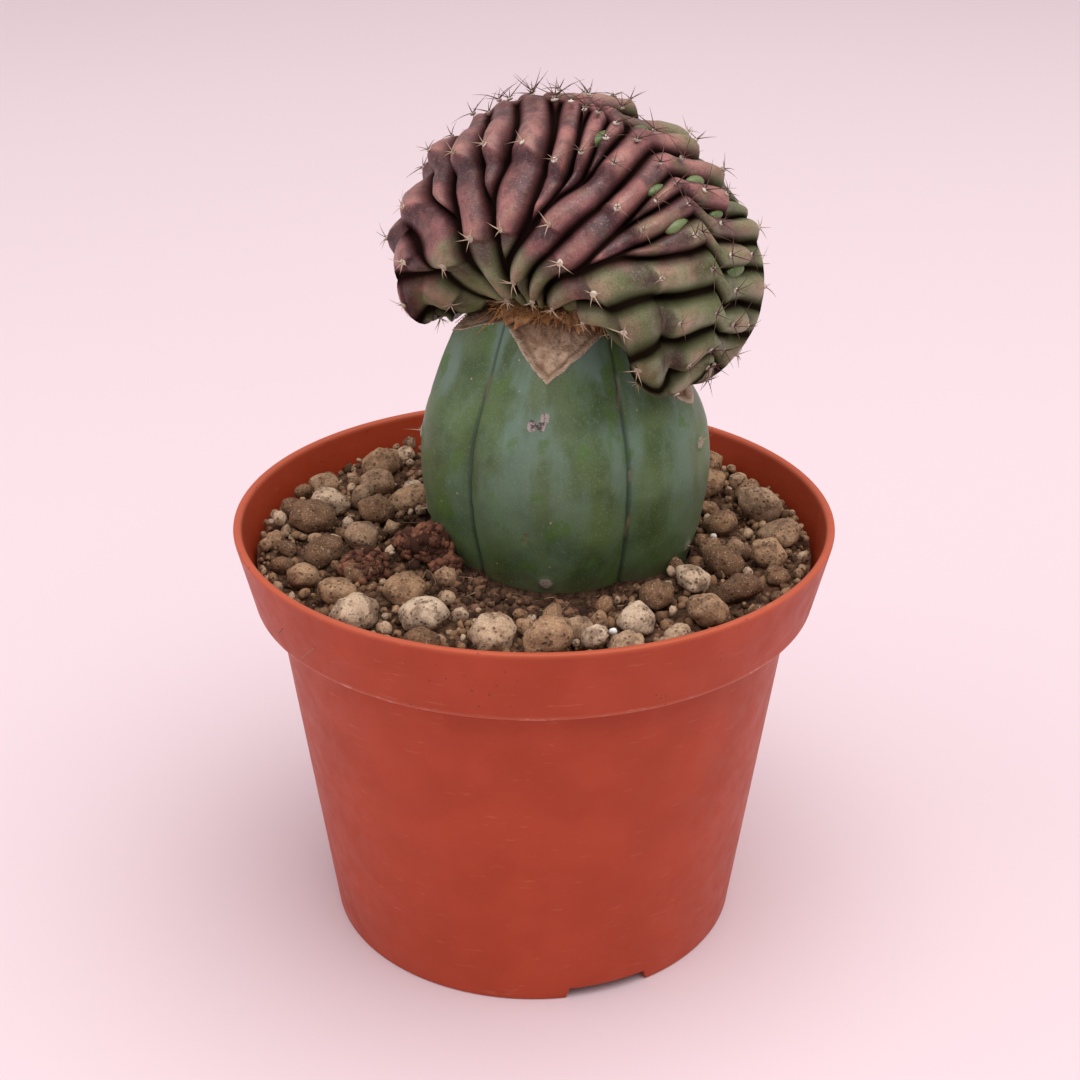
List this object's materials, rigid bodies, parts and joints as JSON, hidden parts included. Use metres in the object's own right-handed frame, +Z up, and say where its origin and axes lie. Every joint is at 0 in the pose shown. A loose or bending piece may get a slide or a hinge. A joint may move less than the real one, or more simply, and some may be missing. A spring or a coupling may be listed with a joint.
{
  "type": "potted gymnocalycium",
  "caption": "Small crested gymnocalycium with fanned ribs and short spines, grafted on a ribbed stock, in a round tapered nursery pot with soil and pumice grit.",
  "frame": {"origin": "under the middle of the pot, on the surface that it stands on", "axes": "+Z up through the pot's middle; the front of the plant looks towards -Y; +X to the right seen from the front"},
  "size_m": [0.085, 0.085, 0.1241],
  "materials": {
    "pot": "terracotta-orange moulded plastic, satin",
    "soil": "loose dark potting soil, matte",
    "grit": "rough pumice and gravel, matte",
    "stock": "waxy blue-green plant skin, satin",
    "graft_tissue": "dried fibrous plant tissue, matte",
    "crest": "dull rose and purple plant skin, satin"
  },
  "bodies": {
    "root": {"pot": "pot", "soil": "soil", "grit": "grit", "stock": "stock", "graft_tissue": "graft_tissue", "crest": "crest"}
  },
  "joints": []
}
